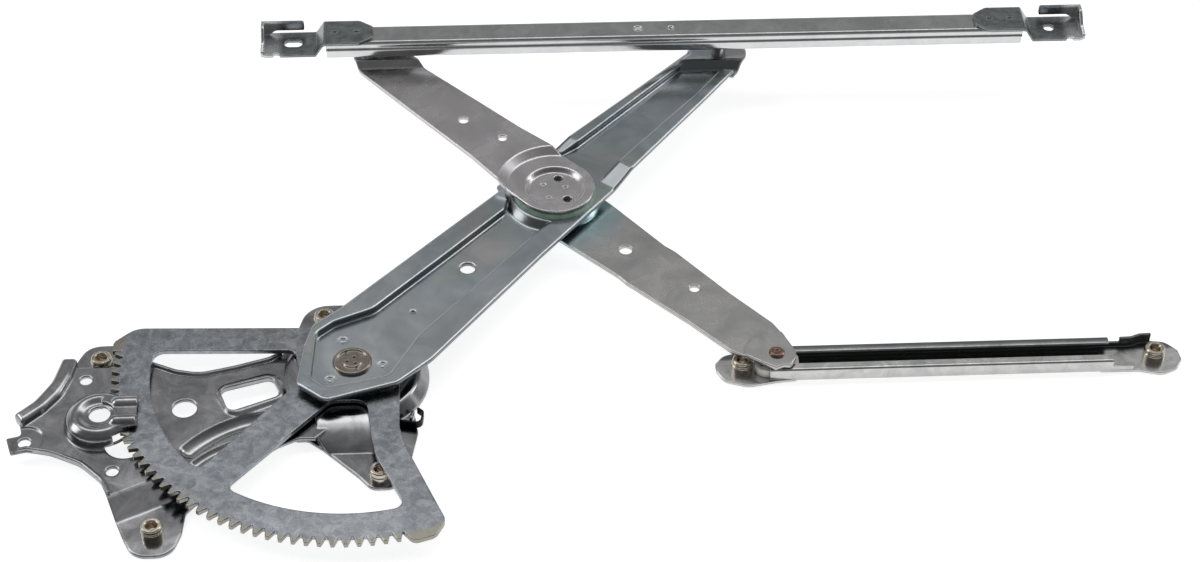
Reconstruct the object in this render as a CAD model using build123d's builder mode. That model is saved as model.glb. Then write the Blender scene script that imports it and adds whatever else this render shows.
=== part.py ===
import os
from math import acos, cos, degrees, pi, radians, sin, tan

from build123d import *

os.makedirs("parts", exist_ok=True)

# Driving dimensions in millimetres and degrees
module = 2.0
teeth_full_circle = 120
pressure_angle = 20.0
first_tooth_deg = 173.4
tooth_count = 37
arm_angle = 49.2
long_half = 166.5
short_half = 153.5
sheet = 2.0
base_sheet = 1.6
channel_sheet = 1.2
rail_sheet = 1.5

ear_z = 0.0
deck_z = 5.0
dome_top_z = 7.7
cup_top_z = 14.5
sector_z = 8.7
sector_thickness = 2.5
arm_z = sector_z + sector_thickness
lip_rise = 3.8
arm_step = 3.8
lower_arm_z = 8.9
lower_hub_z = 12.0
lower_end_rise = 0.8
upper_arm_z = 22.5
upper_ring_drop = 3.0
upper_disc_drop = 5.2
upper_end_rise = 4.0
lift_end_z = 20.0

rail_bottom_z = 31.0
rail_top_z = 41.2
rail_overhang = 26.0
rail_length = 402.0
rail_half_width = 9.2
rail_web_half = 7.3
rail_slot_half = 5.0

channel_height = 8.0
channel_half_width = 9.35
channel_slot_half = 4.4
guide_nut_pitch = 215.5
guide_nut_gap = 17.6

pivot_r = 6.0
bush_clearance = 0.05
hub_r = 14.42
hub_clearance = 0.08
roller_r = 6.9
roller_pin_r = 3.5
roller_clearance = 0.06
shoulder_r = 4.2
shoe_shoulder_r = 3.9
shoe_half_length = 11.5
shoe_half_width = 7.8

nut_r = 5.6
nut_height = 6.4
nut_bore_r = 2.5
screw_hole_r = 3.2

pitch_r = module * teeth_full_circle / 2
tip_r = pitch_r + module
root_r = pitch_r - 1.25 * module
tooth_step = 360.0 / teeth_full_circle
sector_rim_inner_r = 102.4

# Joint centres in the mounting plane
a = radians(arm_angle)
along = (cos(a), sin(a))
hub_xy = (long_half * along[0], long_half * along[1])
lift_tip_xy = ((long_half + short_half) * along[0], (long_half + short_half) * along[1])
upper_tip_xy = (hub_xy[0] - short_half * along[0], hub_xy[1] + short_half * along[1])
lower_tip_xy = (hub_xy[0] + long_half * along[0], 0.0)
rail_y = lift_tip_xy[1]
rail_left_x = upper_tip_xy[0] - rail_overhang
rail_right_x = rail_left_x + rail_length
arm_length = long_half + short_half
guide_left_x = lower_tip_xy[0] - guide_nut_gap
guide_right_x = guide_left_x + guide_nut_pitch

lift_frame = Plane(origin=(0, 0, 0), x_dir=(along[0], along[1], 0), z_dir=(0, 0, 1))
upper_frame = Plane(origin=(*hub_xy, 0), x_dir=(-along[0], along[1], 0), z_dir=(0, 0, 1))
lower_frame = Plane(origin=(*hub_xy, 0), x_dir=(along[0], -along[1], 0), z_dir=(0, 0, 1))


# The middle of the whole outline on the mounting plane is the part's origin
outline_x = (-170.8, guide_right_x + 14.2)
outline_y = (-123.2, rail_y + 10.8)
to_origin = Location((-sum(outline_x) / 2, -sum(outline_y) / 2, 0))


def shape(points, within=None):
    with BuildSketch() as made:
        with BuildLine():
            Polyline(*[p[:2] for p in points], close=True)
        make_face()
        if within:
            Circle(within, mode=Mode.INTERSECT)
        for p in points:
            if len(p) > 2:
                fillet(made.vertices().sort_by_distance((p[0], p[1], 0))[0], p[2])
    return made.sketch


def plate(frame, points, z0, z1, within=None):
    with BuildPart() as made:
        with BuildSketch(frame.offset(z0)):
            add(shape(points, within))
        extrude(amount=z1 - z0)
    return made.part


def disc(centre, r, z0, z1):
    with BuildPart() as made:
        with BuildSketch(Plane.XY.offset(z0)):
            with Locations(centre):
                Circle(r)
        extrude(amount=z1 - z0)
    return made.part


def turned(centre, points):
    with BuildPart() as made:
        with BuildSketch(Plane(origin=(*centre, 0), x_dir=(1, 0, 0), z_dir=(0, -1, 0))):
            add(shape(points))
        revolve(axis=Axis((*centre, 0), (0, 0, 1)))
    return made.part


def rolled(origin, direction, points, half):
    side = Plane(
        origin=(*origin, 0),
        x_dir=(direction[0], direction[1], 0),
        z_dir=(direction[1], -direction[0], 0),
    )
    with BuildPart() as made:
        with BuildSketch(side):
            add(shape(points))
        extrude(amount=half, both=True)
    return made.part


def strip(top, thickness):
    below = [(s, z - thickness, *r) for s, z, *r in reversed(top)]
    return list(top) + below


def save(builder, name):
    piece = builder.part.moved(to_origin)
    piece.label = name
    export_step(piece, f"parts/{name}.step")


def spot(frame, s, t):
    point = frame.from_local_coords(Vector(s, t, 0))
    return (point.X, point.Y)


def polar(r, deg):
    return (r * cos(radians(deg)), r * sin(radians(deg)))


# Sector gear
half_pitch_deg = degrees(pi * module / 4 / pitch_r)
flank_tip = tan(radians(pressure_angle)) * module
flank_root = tan(radians(pressure_angle)) * 1.25 * module
tip_half_deg = degrees((pi * module / 4 - flank_tip) / tip_r)
root_half_deg = degrees((pi * module / 4 + flank_root) / root_r)
tooth_points = []
for k in range(tooth_count):
    mid = first_tooth_deg + tooth_step * k
    tooth_points += [
        polar(root_r, mid - root_half_deg),
        polar(tip_r, mid - tip_half_deg),
        polar(tip_r, mid + tip_half_deg),
        polar(root_r, mid + root_half_deg),
    ]
sector_outline = tooth_points + [
    (31.0, -121.4, 4),
    (41.5, -117.8, 5),
    (46.5, -108.6, 6),
    (26.8, -57.7, 20),
    (24.0, -45.0, 20),
    (24.0, -4.0, 10),
    (17.0, 20.0, 8),
    (-6.0, 28.3, 6),
    (-112.0, 32.0, 12),
    (-122.8, 22.0, 6),
    (-122.6, 15.2),
]
window_upper = [(-125.0, 15.8, 6), (-29.4, 12.4, 5), (-26.0, -9.8, 4), (-95.0, -97.6, 5)]
window_lower = [
    (-10.5, -24.8, 7),
    (7.4, -24.8, 7),
    (10.0, -50.0, 30),
    (12.4, -64.5, 30),
    (36.4, -119.4, 5),
    (-85.0, -111.4, 5),
]
with BuildPart() as sector_gear:
    add(plate(Plane.XY, sector_outline, sector_z, arm_z))
    for window in (window_upper, window_lower):
        add(plate(Plane.XY, window, sector_z - 1, arm_z + 1, sector_rim_inner_r), mode=Mode.SUBTRACT)
    add(disc((0, 0), pivot_r, sector_z - 1, arm_z + 1), mode=Mode.SUBTRACT)
save(sector_gear, "sector_gear")

# Lift arm, a shallow tray that steps up at the hub and again at its tip
panel_top = arm_z + sheet
lip_top = panel_top + lip_rise
high_panel = panel_top + arm_step
high_lip = lip_top + arm_step
arm_outline = [
    (-31.8, 9.2, 4),
    (-31.9, -10.2, 6),
    (0.8, -30.3, 8),
    (24.0, -32.6, 30),
    (long_half - 44.3, -26.5),
    (long_half + 29.5, -23.6),
    (arm_length - 39, -17.9),
    (arm_length - 8, -15.4, 20),
    (arm_length + 14.5, -13.0, 9),
    (arm_length + 14.5, 13.0, 9),
    (arm_length - 7, 15.4, 2),
    (arm_length - 68, 18.6),
    (long_half + 24.5, 22.4),
    (long_half - 13.5, 24.4),
    (24.1, 29.3, 30),
    (5.5, 32.0, 8),
    (-8.5, 25.0, 6),
]
panel_outline = [
    (-24.0, 6.5, 5),
    (-24.5, -4.0, 6),
    (2.0, -23.0, 9),
    (19.0, -19.0, 12),
    (34.0, -15.5, 12),
    (long_half - 28.8, -12.6),
    (long_half + 38.5, -13.3),
    (arm_length - 38, -11.4),
    (arm_length - 9, -8.6, 3),
    (arm_length - 4, -20.0),
    (arm_length + 25, -20.0),
    (arm_length + 25, 20.0),
    (arm_length - 8.5, 20.0),
    (arm_length - 10.5, 11.2, 3),
    (arm_length - 57.4, 12.8),
    (long_half + 38.5, 14.6, 4),
    (long_half + 27.5, 17.0, 4),
    (long_half + 23.5, 29.0),
    (long_half - 14.5, 29.0),
    (long_half - 17.5, 18.0, 6),
    (long_half - 28.5, 12.8, 8),
    (89.6, 13.9),
    (34.0, 15.8, 14),
    (14.0, 25.0, 7),
    (2.0, 26.5, 6),
]
wall_outline = [
    (-26.0, 7.0, 6),
    (-26.5, -5.0, 8),
    (2.5, -25.4, 11),
    (20.0, -21.0, 12),
    (35.0, -17.5, 12),
    (long_half - 28.8, -14.6),
    (long_half + 38.5, -15.3),
    (arm_length - 38, -13.4),
    (arm_length - 7.5, -10.4),
    (arm_length - 7.5, 13.0),
    (arm_length - 57.4, 14.8),
    (long_half + 38.5, 16.6),
    (long_half + 25.5, 19.5),
    (long_half + 19.5, 31.0),
    (long_half - 12.5, 31.0),
    (long_half - 19, 20.0),
    (long_half - 28.5, 14.8, 8),
    (89.6, 15.9),
    (34.5, 17.8, 14),
    (15.0, 27.0, 7),
    (2.0, 28.5, 7),
]
hub_plate_r = 23.6
hub_skirt_r = 27.6
lip_line = [(-45, lip_top), (long_half + 22, lip_top, 6), (long_half + 40, high_lip, 6), (345, high_lip)]
wall_line = [
    (-45, lip_top),
    (long_half + 22, lip_top),
    (long_half + 40, high_lip),
    (345, high_lip),
    (345, high_panel - sheet),
    (long_half - hub_plate_r + 1, high_panel - sheet),
    (long_half - hub_skirt_r - 1, panel_top - sheet),
    (-45, panel_top - sheet),
]
tip_line = [
    (-300, high_panel),
    (rail_y - 10.0, high_panel, 2),
    (rail_y - 6.1, lift_end_z + sheet, 2),
    (rail_y + 40, lift_end_z + sheet),
]

arm_prism = plate(lift_frame, arm_outline, 5, 30)
open_panel = plate(lift_frame, panel_outline, 0, 40)
wall_prism = plate(lift_frame, wall_outline, 0, 40)
hub_side = plate(lift_frame, [(long_half, -60), (400, -60), (400, 60), (long_half, 60)], 0, 40)
root_side = plate(lift_frame, [(-60, -60), (long_half, -60), (long_half, 60), (-60, 60)], 0, 40)
lips = rolled((0, 0), along, strip(lip_line, sheet), 45) & arm_prism
walls = (rolled((0, 0), along, wall_line, 45) & wall_prism & arm_prism) - open_panel
root_panel = plate(
    lift_frame,
    [(-60, -60), (long_half, -60), (long_half, 60), (-60, 60)],
    panel_top - sheet,
    panel_top,
)
root_panel = (root_panel - disc(hub_xy, hub_skirt_r, 0, 40)) & wall_prism
step_ring = turned(
    hub_xy,
    [
        (hub_r, high_panel - sheet),
        (hub_plate_r - 0.8, high_panel - sheet),
        (hub_skirt_r - 0.8, panel_top - sheet),
        (hub_skirt_r + 1.6, panel_top - sheet),
        (hub_skirt_r + 1.6, panel_top),
        (hub_skirt_r + 0.6, panel_top),
        (hub_plate_r + 0.6, high_panel),
        (hub_r, high_panel),
    ],
)
step_ring = step_ring & root_side & wall_prism
hub_plate = disc(hub_xy, hub_plate_r, high_panel - sheet, high_panel) & arm_prism
tip_sheet = rolled((0, 0), (0, 1), strip(tip_line, sheet), 400) & hub_side & arm_prism
lips = lips - open_panel
arm_pieces = [lips, walls, root_panel, step_ring, hub_plate, tip_sheet & wall_prism, tip_sheet & open_panel]
with BuildPart() as lift_arm:
    for piece in arm_pieces:
        add(piece)
    add(disc((0, 0), pivot_r, 0, 40), mode=Mode.SUBTRACT)
    add(disc(hub_xy, hub_r + hub_clearance, 0, 40), mode=Mode.SUBTRACT)
    add(disc(lift_tip_xy, roller_pin_r, 0, 40), mode=Mode.SUBTRACT)
    add(disc(spot(lift_frame, 91.9, 0.2), 4.2, 0, 40), mode=Mode.SUBTRACT)
    add(disc(spot(lift_frame, 48.0, 0.6), 1.1, 0, 40), mode=Mode.SUBTRACT)
    with BuildSketch(Plane.XY.offset(panel_top)):
        dots = [(9.0, 14.4), (8.3, -13.4), (-16.5, 0.3)]
        with Locations(*[spot(lift_frame, x, y) for x, y in dots]):
            Circle(2.2)
            Circle(1.4, mode=Mode.SUBTRACT)
    extrude(amount=-0.4, mode=Mode.SUBTRACT)
save(lift_arm, "lift_arm")

# Coils of the counterbalance spring, whose tail sits in a slot of the main pivot pin
coil_in = 8.6
coil_out = 28.0
strip_t = 1.1
half_turns = 9
exit_deg = -104.2
start_deg = exit_deg - 180 * half_turns
coil_step = (coil_out - coil_in) / (half_turns - 1)
slot_deg = start_deg - 38


# Main pivot pin with its stamped head and the spring slot
head_z = panel_top
slot_width = 1.4
with BuildPart() as main_pivot_pin:
    add(
        turned(
            (0, 0),
            [
                (0, 0.6),
                (pivot_r - 0.8, 0.6),
                (pivot_r, 1.4),
                (pivot_r, head_z),
                (10.0, head_z),
                (10.0, head_z + 1.0),
                (9.4, head_z + 1.6),
                (8.2, head_z + 1.6),
                (7.6, head_z + 1.0),
                (5.2, head_z + 1.0),
                (4.6, head_z + 1.5),
                (0, head_z + 1.5),
            ],
        )
    )
    with BuildSketch(Plane.XY):
        Rectangle(2 * pivot_r + 2, slot_width, rotation=slot_deg)
    extrude(amount=6.0, mode=Mode.SUBTRACT)
    with BuildSketch(Plane.XY.offset(head_z + 2)):
        with PolarLocations(6.4, 4, start_angle=25):
            SlotCenterToCenter(1.6, 1.2)
        with PolarLocations(2.6, 3, start_angle=70):
            Circle(0.7)
    extrude(amount=-1.4, mode=Mode.SUBTRACT)
save(main_pivot_pin, "main_pivot_pin")

# Flanged bush in the base plate's dome
bush_outer_r = pivot_r + 2.2
with BuildPart() as pivot_bush:
    add(
        turned(
            (0, 0),
            [
                (pivot_r + bush_clearance, dome_top_z - base_sheet),
                (bush_outer_r, dome_top_z - base_sheet),
                (bush_outer_r, dome_top_z),
                (13.0, dome_top_z),
                (13.0, sector_z - 0.1),
                (pivot_r + bush_clearance, sector_z - 0.1),
            ],
        )
    )
save(pivot_bush, "pivot_bush")

# Base plate
motor_xy = (-124.8, -32.2)
base_nuts = {"ul": (-128.8, 14.7), "ll": (-94.6, -102.9), "ur": (-15.6, 42.6), "lr": (14.4, -69.8)}
deck_top = deck_z + base_sheet
deck_outline = [
    (-170.8, -40.4, 1),
    (-167.6, -51.2, 1),
    (-160.0, -49.3, 4),
    (-147.9, -52.2, 20),
    (-132.4, -60.4, 20),
    (-121.7, -71.8, 12),
    (-117.4, -82.1),
    (-86.3, -66.5, 3),
    (-66.0, -72.0, 12),
    (-50.0, -62.5, 20),
    (-36.0, -51.5, 12),
    (-26.0, -46.5, 10),
    (-18.0, -47.0),
    (8.0, -20.0),
    (0.0, 26.0),
    (-31.0, 22.0),
    (-35.0, 15.5, 3),
    (-42.6, 9.6, 8),
    (-60.0, 4.0, 20),
    (-78.0, -0.5, 20),
    (-90.5, 2.4, 14),
    (-103.0, 8.6, 8),
    (-141.0, 8.6, 3),
    (-149.0, -1.0, 4),
    (-157.0, -14.0, 8),
    (-165.5, -28.5, 2),
    (-163.5, -38.5, 2),
]
ul_ear = [
    (-141.5, 2.0),
    (-141.8, 18.0, 8),
    (-137.0, 29.2, 10),
    (-119.0, 29.8, 6),
    (-112.0, 22.0, 6),
    (-110.0, 2.0),
]
ll_ear = [
    (-121.0, -73.0),
    (-116.5, -85.0, 10),
    (-108.4, -106.0, 6),
    (-103.0, -117.4, 10),
    (-85.0, -117.4, 10),
    (-80.6, -103.0, 12),
    (-79.5, -90.0, 6),
    (-71.0, -79.0, 4),
    (-80.0, -70.0),
]
ur_ear = [
    (-33.0, 18.0),
    (-30.0, 36.0, 12),
    (-24.5, 56.0, 14),
    (-3.0, 56.0, 12),
    (14.0, 40.0, 10),
    (26.0, 24.0),
    (0, 10),
]
lr_ear = [
    (-30.0, -43.0, 1.5),
    (-22.0, -43.0, 4),
    (-14.0, -50.0, 10),
    (4.0, -69.5, 12),
    (10.0, -77.5, 6),
    (22.0, -77.5, 8),
    (28.0, -66.0, 8),
    (33.0, -40.0, 8),
    (30.0, -18.0),
    (-10.0, -18.0),
]
ears = [
    rolled(
        (0, 2),
        (0, 1),
        strip([(-20, deck_top), (2, deck_top, 1.5), (6, base_sheet, 1.5), (80, base_sheet)], base_sheet),
        170,
    )
    & plate(Plane.XY, ul_ear, -1, 20),
    rolled(
        (-95.0, -86.5),
        (0.447, -0.894),
        strip([(-36, deck_top), (-14, deck_top, 9), (0, base_sheet, 3), (80, base_sheet)], base_sheet),
        60,
    )
    & plate(Plane.XY, ll_ear, -1, 20),
]
dome_r = 34.0
dome_foot_r = 38.5


drum_left = -20.0
drum_right = 17.0
drum_bend_y = -30.0
drum_r = 46.4


def drum(inset, floor_z):
    r = drum_r - inset
    centre_z = dome_top_z - drum_r
    end_deg = degrees(acos((floor_z - centre_z) / r))
    middle = radians(end_deg / 2)
    foot_y = drum_bend_y - r * sin(radians(end_deg))
    with BuildPart() as made:
        with BuildSketch(Plane.YZ.offset(drum_left + inset)):
            with BuildLine():
                corners = [(foot_y, floor_z), (-10, floor_z), (-10, centre_z + r), (drum_bend_y, centre_z + r)]
                Polyline(*corners)
                ThreePointArc(
                    (drum_bend_y, centre_z + r),
                    (drum_bend_y - r * sin(middle), centre_z + r * cos(middle)),
                    (foot_y, floor_z),
                )
            make_face()
        extrude(amount=drum_right - drum_left - 2 * inset)
    sides = [
        (-19.6 + inset, -5.0),
        (-18.4 + inset, -29.0),
        (-16.4 + inset, -46.0, 6),
        (-10.5 + inset, -54.0, 4),
        (-10.5 + inset, -60.0),
        (30.0, -60.0),
        (30.0, -5.0),
    ]
    return made.part & plate(Plane.XY, sides, -5, 20)


dome_outer = turned(
    (0, 0),
    [
        (0, 0),
        (dome_foot_r + 0.4, 0),
        (dome_foot_r + 0.4, base_sheet),
        (dome_r, dome_top_z, 2.5),
        (0, dome_top_z),
    ],
)
dome_inner = turned(
    (0, 0),
    [
        (0, -1),
        (dome_foot_r - 2.2, -1),
        (dome_foot_r - 2.2, 0),
        (dome_r - 1.9, dome_top_z - base_sheet, 1.5),
        (0, dome_top_z - base_sheet),
    ],
)
cup_r = 18.2
pilot_r = 5.4
dish_r = 7.4
dish_depth = 1.4
cup_flat_r = 13.2
cup_outer = turned(
    motor_xy,
    [
        (0, deck_z),
        (cup_r, deck_z),
        (cup_r, deck_top),
        (cup_r - 1.2, cup_top_z - 2.6, 3.0),
        (cup_flat_r, cup_top_z, 3.0),
        (11.0, cup_top_z, 1.5),
        (8.0, cup_top_z - dish_depth, 1.5),
        (0, cup_top_z - dish_depth),
    ],
)
cup_inner = turned(
    motor_xy,
    [
        (0, deck_z - 1),
        (cup_r - 1.6, deck_z - 1),
        (cup_r - 1.6, deck_top - 0.6),
        (cup_r - 2.8, cup_top_z - 3.6, 1.5),
        (cup_flat_r - 0.6, cup_top_z - base_sheet, 1.5),
        (11.4, cup_top_z - base_sheet),
        (8.4, cup_top_z - dish_depth - base_sheet),
        (0, cup_top_z - dish_depth - base_sheet),
    ],
)
hood_roof = [(-124.0, -20.6), (-107.2, -20.6, 2), (-105.8, -41.0, 2), (-124.0, -43.6)]
hood_ribs = [(-24.6, 5.0), (-37.4, 5.0)]


def hood_rib(y, r, z0):
    with BuildPart() as made:
        with BuildSketch(Plane(origin=(-116.0, y, z0 + 1.8 - r), x_dir=(0, 1, 0), z_dir=(1, 0, 0))):
            Circle(r)
        extrude(amount=9.6)
        with Locations((-116.0, y, z0 + 1.8 - r)):
            Sphere(r)
    return made.part - plate(Plane.XY, [(-200, -80), (0, -80), (0, 20), (-200, 20)], -20, z0 - 0.8)


gear_clear_r = tip_r + 4.5
gear_gap = disc((0, 0), gear_clear_r, sector_z - 0.9, arm_z + 1.0)
ridge = [
    (-168.2, -26.0, 1),
    (-159.3, -17.0, 20),
    (-152.0, -3.7, 20),
    (-148.2, 13.5, 2),
    (-140.2, 13.5, 2),
    (-142.0, 1.1, 20),
    (-146.0, -12.0, 20),
    (-153.5, -23.0, 20),
    (-163.5, -33.0, 1),
]
with BuildPart() as ridge_bar:
    add(plate(Plane.XY, ridge, deck_z - 1.0, deck_top + 3.4))
    fillet(ridge_bar.faces().sort_by(Axis.Z)[-1].edges(), 2.6)
rim_band = [
    (-164.0, -50.3),
    (-160.0, -49.3, 4),
    (-147.9, -52.2, 20),
    (-132.4, -60.4, 20),
    (-121.7, -71.8, 12),
    (-117.6, -81.0),
    (-116.0, -80.3),
    (-120.1, -71.0, 12),
    (-131.2, -59.2, 20),
    (-147.3, -50.7, 20),
    (-160.0, -47.7, 4),
    (-164.0, -48.8),
]
window_rim = [(-72.4, -8.6, 8), (-38.2, 2.6, 8), (-30.8, -18.2, 8), (-60.6, -32.4, 8)]
window_crest = [(-69.0, -10.2, 6), (-40.0, -1.0, 6), (-33.8, -17.2, 6), (-61.3, -29.4, 6)]
window_hole = [(-67.4, -11.2, 4), (-41.0, -3.0, 4), (-35.6, -16.4, 4), (-61.6, -27.6, 4)]


upper_band = [
    (-103.0, 8.6),
    (-90.5, 2.4, 14),
    (-78.0, -0.5, 20),
    (-60.0, 4.0, 20),
    (-42.6, 9.6, 8),
    (-36.5, 14.0),
    (-37.7, 15.2),
    (-43.4, 11.2, 8),
    (-60.4, 5.6, 20),
    (-78.0, 1.1, 20),
    (-90.0, 4.0, 14),
    (-102.2, 10.0),
]


def trough(points, width, depth, inset):
    r = (width * width / 4 + depth * depth) / (2 * depth)
    centre_z = deck_top - depth + r
    with BuildPart() as made:
        with BuildLine(Plane.XY.offset(centre_z)) as path:
            ThreePointArc(*points)
        with BuildSketch(Plane(origin=path.line @ 0, z_dir=path.line % 0)):
            Circle(r + inset)
        sweep()
        for end in (points[0], points[-1]):
            with Locations((*end, centre_z)):
                Sphere(r + inset)
    return made.part


def frame_rim(outer, inner, z0, z1):
    with BuildPart() as made:
        with BuildSketch(Plane.XY.offset(z0)):
            add(shape(outer))
        with BuildSketch(Plane.XY.offset(z1)):
            add(shape(inner))
        loft()
    return made.part


# Strip of the counterbalance spring, and where its leg leaves the dome and hooks round a tab
strip_z = 2.0
strip_height = 3.7
leg_opening = [(12.0, -29.0), (26.0, -32.0), (26.0, -38.5), (12.0, -36.5)]
spring_tab = [(28.6, -34.6, 0.8), (30.4, -34.6, 0.8), (31.6, -29.6, 0.8), (29.8, -29.6, 0.8)]
trough_path = [(-79.0, -53.0), (-65.5, -40.6), (-40.0, -31.5)]
trough_width = 11.0
trough_depth = 3.0
below_deck = plate(Plane.XY, [(-120, -90), (0, -90), (0, 20), (-120, 20)], -20, deck_top)
side_trough_path = [(-75.5, -62.5), (-66.5, -54.6), (-55.0, -49.0)]
side_trough_width = 6.0
side_trough_depth = 1.6
with BuildPart() as base_plate:
    add(plate(Plane.XY, deck_outline, deck_z, deck_top))
    for ear in ears:
        add(ear)
    add(plate(Plane.XY, ur_ear, ear_z, base_sheet))
    add(plate(Plane.XY, lr_ear, ear_z, base_sheet))
    add(dome_outer)
    add(drum(0, base_sheet / 2))
    add(dome_inner, mode=Mode.SUBTRACT)
    add(drum(base_sheet + 0.1, -1), mode=Mode.SUBTRACT)
    add(cup_outer)
    add(plate(Plane.XY, hood_roof, cup_top_z - base_sheet, cup_top_z))
    for y, r in hood_ribs:
        add(hood_rib(y, r, cup_top_z))
    add(cup_inner, mode=Mode.SUBTRACT)
    add(gear_gap, mode=Mode.SUBTRACT)
    add(plate(Plane.XY, rim_band, deck_z, deck_top + 1.6))
    add(plate(Plane.XY, upper_band, deck_z, deck_top + 1.4))
    for path, width, depth in (
        (trough_path, trough_width, trough_depth),
        (side_trough_path, side_trough_width, side_trough_depth),
    ):
        add(trough(path, width, depth, base_sheet) & below_deck)
        add(trough(path, width, depth, 0), mode=Mode.SUBTRACT)
    add(frame_rim(window_rim, window_crest, deck_top - 0.1, deck_top + 1.3))
    with BuildSketch(Plane.XY.offset(deck_top)):
        with Locations((-161.5, -42.2)):
            Circle(9.2)
    extrude(amount=-0.5, mode=Mode.SUBTRACT)
    add(ridge_bar.part)
    add(plate(Plane.XY, window_hole, deck_z - 1, deck_top + 3), mode=Mode.SUBTRACT)
    add(disc(motor_xy, pilot_r, deck_z - 1, cup_top_z), mode=Mode.SUBTRACT)
    add(disc(motor_xy, dish_r, cup_top_z - dish_depth, cup_top_z + 4), mode=Mode.SUBTRACT)
    add(disc((-111.4, -46.4), 10.4, deck_z - 1, deck_top + 0.9), mode=Mode.SUBTRACT)
    add(disc((-84.0, -23.2), 6.3, deck_z - 1, deck_top + 1), mode=Mode.SUBTRACT)
    add(disc((0, 0), bush_outer_r, 0, 20), mode=Mode.SUBTRACT)
    for centre in ((-135.1, -0.9), (-116.4, -65.4), (-161.4, -43.8)):
        add(disc(centre, screw_hole_r, deck_z - 3, deck_top + 5), mode=Mode.SUBTRACT)
    for centre in base_nuts.values():
        add(disc(centre, 3.4, ear_z - 1, base_sheet + 1), mode=Mode.SUBTRACT)
    add(plate(Plane.XY, leg_opening, base_sheet, strip_z + strip_height + 0.5), mode=Mode.SUBTRACT)
    add(plate(Plane.XY, spring_tab, ear_z, strip_z + strip_height + 1.2))
save(base_plate, "base_plate")


def weld_nut(centre, z0):
    top = z0 + nut_height
    return turned(
        centre,
        [
            (nut_bore_r, z0),
            (nut_r, z0),
            (nut_r, z0 + 3.6),
            (nut_r - 0.5, z0 + 4.1),
            (nut_r - 0.5, top - 0.5),
            (nut_r - 1.0, top),
            (nut_bore_r + 0.7, top),
            (nut_bore_r, top - 0.9),
        ],
    )


for tag, centre in base_nuts.items():
    with BuildPart() as nut:
        add(weld_nut(centre, base_sheet))
    save(nut, f"base_nut_{tag}")

# Counterbalance spring, inner tail in the pin's slot and outer hook round the tab
def wind(shift):
    for i in range(half_turns):
        centre = polar(coil_step * (i % 2), start_deg)
        CenterArc(centre, coil_in + coil_step * i + shift, start_deg + 180 * i, 180)


def trail(points, t):
    with BuildSketch() as made:
        with BuildLine() as path:
            Polyline(*[p[:2] for p in points])
            for p in points:
                if len(p) > 2:
                    fillet(path.vertices().sort_by_distance((p[0], p[1], 0))[0], p[2])
        trace(line_width=t)
    return made.sketch


tail = [polar(-4.4, slot_deg), (*polar(pivot_r + 1.7, slot_deg), 1.2), polar(coil_in, start_deg)]
hook = [polar(coil_out, exit_deg), (34.6, -37.3, 3.0), (35.6, -29.0, 2.0), (32.9, -26.4)]
with BuildPart() as counterbalance_spring:
    with BuildSketch(Plane.XY.offset(strip_z)):
        with BuildLine():
            wind(-strip_t / 2)
            wind(strip_t / 2)
            Line(polar(coil_in - strip_t / 2, start_deg), polar(coil_in + strip_t / 2, start_deg))
            Line(polar(coil_out - strip_t / 2, exit_deg), polar(coil_out + strip_t / 2, exit_deg))
        make_face()
        add(trail(tail, strip_t))
        add(trail(hook, strip_t))
    extrude(amount=strip_height)
save(counterbalance_spring, "counterbalance_spring")

# Upper balancer arm, dished at the hub and stepped up at the rail
flat_top = upper_arm_z + sheet
ring_top = flat_top - upper_ring_drop
disc_top = flat_top - upper_disc_drop
ring_inner_r = 16.6
ring_outer_r = 26.5
step_foot_r = 32.0
upper_outline = [
    (0.0, -21.6),
    (26.0, -20.6, 20),
    (48.0, -18.4, 30),
    (short_half - 20.5, -14.9, 20),
    (short_half - 10.5, -14.0, 8),
    (short_half + 8.5, -8.0, 9),
    (short_half + 8.5, 10.0, 9),
    (short_half - 5.5, 14.0, 8),
    (short_half - 20.5, 14.9, 20),
    (48.0, 18.4, 30),
    (26.0, 20.6, 20),
    (0.0, 21.6),
]
upper_end_line = [
    (-300, flat_top),
    (rail_y - 11.0, flat_top, 2),
    (rail_y - 7.6, flat_top + upper_end_rise, 2),
    (rail_y + 40, flat_top + upper_end_rise),
]
upper_shape = plate(upper_frame, upper_outline, 10, 34) + disc(hub_xy, 21.6, 10, 34)
upper_flat = rolled((0, 0), (0, 1), strip(upper_end_line, sheet), 400) - disc(hub_xy, step_foot_r, 0, 40)
hub_dish = turned(
    hub_xy,
    [
        (0, disc_top - sheet),
        (ring_inner_r - 0.6, disc_top - sheet, 1.0),
        (ring_inner_r + 0.9, ring_top - sheet, 1.0),
        (ring_outer_r + 0.8, ring_top - sheet, 2.0),
        (step_foot_r + 0.4, flat_top - sheet, 1.0),
        (step_foot_r + 1.4, flat_top - sheet),
        (step_foot_r + 1.4, flat_top),
        (step_foot_r - 0.4, flat_top, 2.0),
        (ring_outer_r, ring_top, 2.0),
        (ring_inner_r, ring_top, 1.6),
        (ring_inner_r - 2.2, disc_top, 1.0),
        (0, disc_top),
    ],
)
upper_flat = upper_flat & upper_shape
hub_dish = hub_dish & upper_shape
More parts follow.
